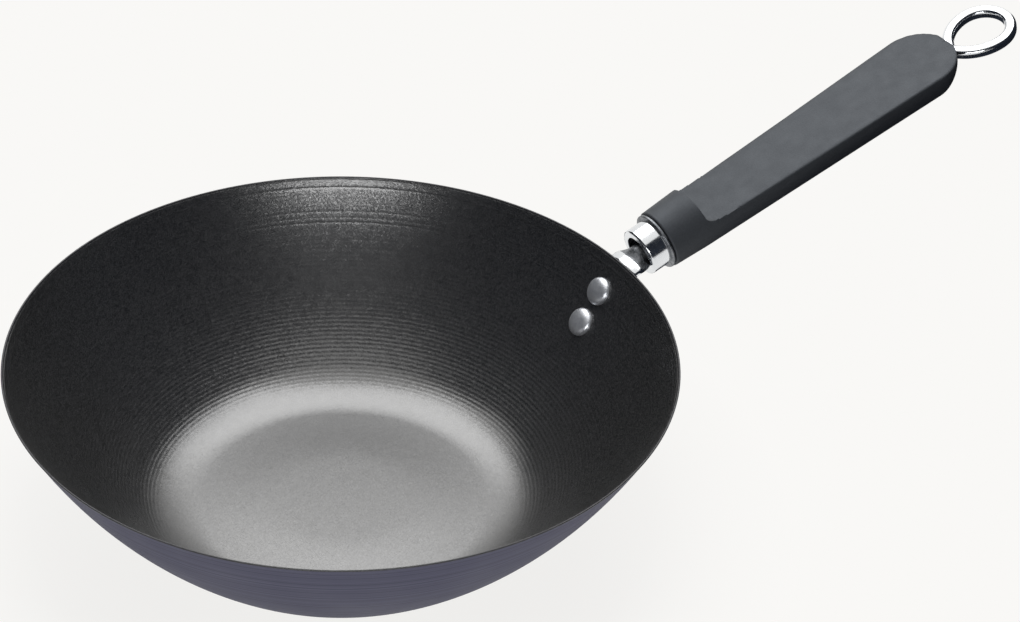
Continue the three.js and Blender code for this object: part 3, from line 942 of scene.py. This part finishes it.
def chrome(name, smooth, rough):
    """Bright plate with a faint haze and a slightly uneven skin."""
    plate = Nodes(name)
    plate.colour(plate.noise(scale=120), dark=(0.74, 0.76, 0.785), light=(0.82, 0.84, 0.86))
    plate.roughness(plate.noise(scale=350, detail=4.0), smooth, rough)
    plate.set(Metallic=1.0)
    plate.bump(plate.noise(scale=180, detail=2.0), strength=0.05, distance=0.0001)
    return plate.material


def painted_shade_steel():
    """Dull blotchy steel that paints shade on the strap's neck and the ferrule's flange, darker than their
    chrome.
    """
    steel = Nodes("steel_painted_shade")
    steel.colour(steel.noise(scale=500, detail=4.0), dark=(0.13, 0.14, 0.15), light=(0.34, 0.35, 0.37))
    steel.roughness(steel.noise(scale=700), smooth=0.34, rough=0.5)
    steel.set(Metallic=1.0)
    steel.bump(steel.noise(scale=900), strength=0.3, distance=0.0002)
    return steel.material


def rivet_metal():
    """Satin aluminium with a faintly uneven skin."""
    satin = Nodes("rivet_satin")
    satin.colour(satin.noise(scale=600), dark=(0.72, 0.74, 0.79), light=(0.86, 0.88, 0.92))
    satin.roughness(satin.noise(scale=400), smooth=0.31, rough=0.38)
    satin.set(Metallic=0.8)
    satin.bump(satin.noise(scale=700, detail=2.0), strength=0.03, distance=0.00008)
    return satin.material


def grip_plastic():
    """Black heat-resistant moulding with a soft-touch spark-eroded skin."""
    black = Nodes("grip_soft_black")
    black.colour(black.noise(scale=1300), dark=(0.015, 0.016, 0.019), light=(0.026, 0.028, 0.033))
    black.roughness(black.noise(scale=160, detail=4.0), smooth=0.59, rough=0.66)
    black.set(Specular_IOR_Level=0.92, Specular_Tint=(0.85, 0.92, 1, 1))
    black.bump(black.noise(scale=1600, detail=2.0), strength=0.45, distance=0.0001)
    return black.material


def plated_steel():
    """Dull zinc plate of the rod and nut inside the grip."""
    zinc = Nodes("zinc_plate")
    zinc.colour(zinc.noise(scale=250, detail=4.0), dark=(0.5, 0.51, 0.53), light=(0.66, 0.67, 0.68))
    zinc.roughness(zinc.noise(scale=400), smooth=0.32, rough=0.5)
    zinc.set(Metallic=1.0)
    return zinc.material


# Stage


def seen_from_camera(azimuth, elevation):
    """Direction from the wok, with azimuth 0 straight away from the camera and turning to the left."""
    turn = QUARTER - HANDLE_AZIMUTH + math.radians(azimuth)
    level = math.cos(math.radians(elevation))
    return Vector((level * math.cos(turn), level * math.sin(turn), math.sin(math.radians(elevation))))


def seen_ray(tree):
    """1 on rays that show the surroundings themselves: from the camera, off gloss or through glass."""
    path = tree.nodes.new("ShaderNodeLightPath")
    total = path.outputs["Is Camera Ray"]
    for kind in ("Is Glossy Ray", "Is Transmission Ray"):
        either = tree.nodes.new("ShaderNodeMath")
        either.operation = "MAXIMUM"
        tree.links.new(total, either.inputs[0])
        tree.links.new(path.outputs[kind], either.inputs[1])
        total = either.outputs["Value"]
    return total


def floor_material():
    """The background's own tone with a soft shadow to sight and gloss, and plain pale to other light."""
    sheet = Nodes("floor_pale")
    sheet.colour(sheet.noise(scale=3), dark=(0.68, 0.68, 0.675), light=(0.72, 0.72, 0.715))
    sheet.set(Roughness=0.9, Specular_IOR_Level=0.1)
    glow = sheet.add("ShaderNodeEmission")
    glow.inputs["Color"].default_value = BACKGROUND
    glow.inputs["Strength"].default_value = FLOOR_GLOW
    shade = sheet.add("ShaderNodeBsdfDiffuse")
    shade.inputs["Color"].default_value = (FLOOR_SHADE, FLOOR_SHADE, FLOOR_SHADE, 1)
    both = sheet.add("ShaderNodeAddShader")
    sheet.join(glow.outputs["Emission"], both.inputs[0])
    sheet.join(shade.outputs["BSDF"], both.inputs[1])
    plain = sheet.add("ShaderNodeEmission")
    plain.inputs["Color"].default_value = BACKGROUND
    reach = sheet.add("ShaderNodeVectorMath", operation="LENGTH")
    sheet.join(sheet.place, reach.inputs[0])
    fade = sheet.add("ShaderNodeMixShader")
    sheet.join(sheet.spread(reach.outputs["Value"], 0, 1, *SHADE_FADE), fade.inputs["Fac"])
    sheet.join(both.outputs["Shader"], fade.inputs[1])
    sheet.join(plain.outputs["Emission"], fade.inputs[2])
    choose = sheet.add("ShaderNodeMixShader")
    sheet.join(seen_ray(sheet.tree), choose.inputs["Fac"])
    sheet.join(sheet.shader.outputs["BSDF"], choose.inputs[1])
    sheet.join(fade.outputs["Shader"], choose.inputs[2])
    sheet.join(choose.outputs["Shader"], sheet.tree.nodes["Material Output"].inputs["Surface"])
    return sheet.material


def curtain_material():
    """Dark blue-black cloth."""
    cloth = Nodes("curtain_dark")
    cloth.colour(cloth.noise(scale=4), dark=(0.02, 0.026, 0.04), light=(0.034, 0.042, 0.06))
    cloth.set(Roughness=0.9, Specular_IOR_Level=0.1)
    return cloth.material


def make_stage_piece(name, points, faces, material):
    mesh = bpy.data.meshes.new(name)
    mesh.from_pydata(points, [], faces)
    mesh.materials.append(material)
    piece = bpy.data.objects.new(name, mesh)
    bpy.context.scene.collection.objects.link(piece)
    return piece


def make_floor():
    """The table top, whose right edge slants to the left as it goes away from the camera."""
    right = seen_from_camera(-90, 0)
    straight_away = seen_from_camera(0, 0)
    drop = Vector((0, 0, -TABLE_DROP))
    points = [right * across + straight_away * away + drop for across, away in TABLE_CORNERS]
    make_stage_piece("floor", points, [(0, 1, 2, 3)], floor_material())


def make_curtain():
    """Dark cloth round the camera's side and under the table, open behind the wok and not seen directly."""
    points = []
    for i in range(CURTAIN_STEPS + 1):
        azimuth = mixed(*CURTAIN_ENDS, i / CURTAIN_STEPS)
        foot = seen_from_camera(azimuth, 0) * CURTAIN_RADIUS
        points.append(foot + Vector((0, 0, CURTAIN_FOOT)))
        top = mixed(CURTAIN_LOW_TOP, CURTAIN_TOP, smooth_share(*CURTAIN_LOW_SIDE, azimuth))
        points.append(foot + Vector((0, 0, top)))
    faces = [(2 * i, 2 * i + 1, 2 * i + 3, 2 * i + 2) for i in range(CURTAIN_STEPS)]
    faces.append(tuple(range(0, len(points), 2)))
    curtain = make_stage_piece("curtain", points, faces, curtain_material())
    curtain.visible_camera = False


def make_softbox(name, azimuth, elevation, distance, size, power):
    """A rectangular lamp that faces the wok."""
    lamp = bpy.data.lights.new(name, "AREA")
    lamp.shape = "RECTANGLE"
    lamp.size, lamp.size_y = size
    lamp.energy = power
    box = bpy.data.objects.new(name, lamp)
    direction = seen_from_camera(azimuth, elevation)
    box.location = direction * distance
    box.rotation_euler = direction.to_track_quat("Z", "Y").to_euler()
    bpy.context.scene.collection.objects.link(box)


def make_world():
    """The background's own tone to sight and gloss, and an even dimmer light on matt surfaces."""
    world = bpy.data.worlds.new("studio")
    world.use_nodes = True
    bpy.context.scene.world = world
    tree = world.node_tree
    tree.nodes.clear()
    room = tree.nodes.new("ShaderNodeBackground")
    room.inputs["Color"].default_value = (1, 1, 1, 1)
    room.inputs["Strength"].default_value = ROOM_LIGHT
    white = tree.nodes.new("ShaderNodeBackground")
    white.inputs["Color"].default_value = BACKGROUND
    choose = tree.nodes.new("ShaderNodeMixShader")
    out = tree.nodes.new("ShaderNodeOutputWorld")
    tree.links.new(seen_ray(tree), choose.inputs["Fac"])
    tree.links.new(room.outputs["Background"], choose.inputs[1])
    tree.links.new(white.outputs["Background"], choose.inputs[2])
    tree.links.new(choose.outputs["Shader"], out.inputs["Surface"])


def make_camera():
    """The photo's camera, turned round the wok so that the handle keeps to +X."""
    level = math.cos(CAMERA_ELEVATION)
    rise = math.sin(CAMERA_ELEVATION)
    right = Vector((1, 0, 0))
    forward = Vector((0, level, -rise))
    facing = Matrix((right, forward.cross(right), forward))
    aim = Matrix.Rotation(CAMERA_ROLL, 3, "Z") @ Matrix.Rotation(CAMERA_PITCH, 3, "X")
    aim = aim @ Matrix.Rotation(-CAMERA_YAW, 3, "Y") @ facing
    axes = aim.transposed() @ Matrix.Diagonal((1, -1, -1))
    spin = Matrix.Rotation(-HANDLE_AZIMUTH, 4, "Z")
    lift = Matrix.Translation((0, 0, BOWL_HEIGHT * MM))
    stand = Matrix.Translation(Vector((0, -level, rise)) * CAMERA_DISTANCE)
    data = bpy.data.cameras.new("camera")
    data.lens = CAMERA_LENS
    data.sensor_width = CAMERA_SENSOR
    camera = bpy.data.objects.new("camera", data)
    camera.matrix_world = lift @ spin @ stand @ axes.to_4x4()
    bpy.context.scene.collection.objects.link(camera)
    bpy.context.scene.camera = camera


def dress_kept_nodes():
    """Rod and nut keep their solids and get their plating."""
    metal = plated_steel()
    for name in ("tie_rod", "weld_nut"):
        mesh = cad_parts[name].data
        mesh.materials.clear()
        mesh.materials.append(metal)


def main():
    make_camera()
    make_bowl(coating_inside(), coating_outside(), rim_edge())
    satin = rivet_metal()
    make_rivet("rivet_upper", RIVET_BELOW_RIM, satin)
    make_rivet("rivet_lower", RIVET_BELOW_RIM + RIVET_PITCH, satin)
    # Painted shade: darker steel on the strap's neck and the ferrule's flange
    painted_shade_metal = painted_shade_steel()
    make_strap(chrome("strap_chrome", smooth=0.1, rough=0.18), painted_shade_metal)
    make_ferrule(chrome("ferrule_chrome", smooth=0.14, rough=0.2), painted_shade_metal)
    make_grip(grip_plastic())
    loop_metal = chrome("loop_chrome", smooth=0.14, rough=0.2)
    make_loop_eye(loop_metal)
    make_loop_stem(loop_metal)
    dress_kept_nodes()
    make_floor()
    make_curtain()
    make_world()
    make_softbox("top_box", **TOP_BOX)
    make_softbox("front_box", **FRONT_BOX)
    make_softbox("low_box", **LOW_BOX)
    bpy.context.scene.view_settings.view_transform = "Standard"


main()
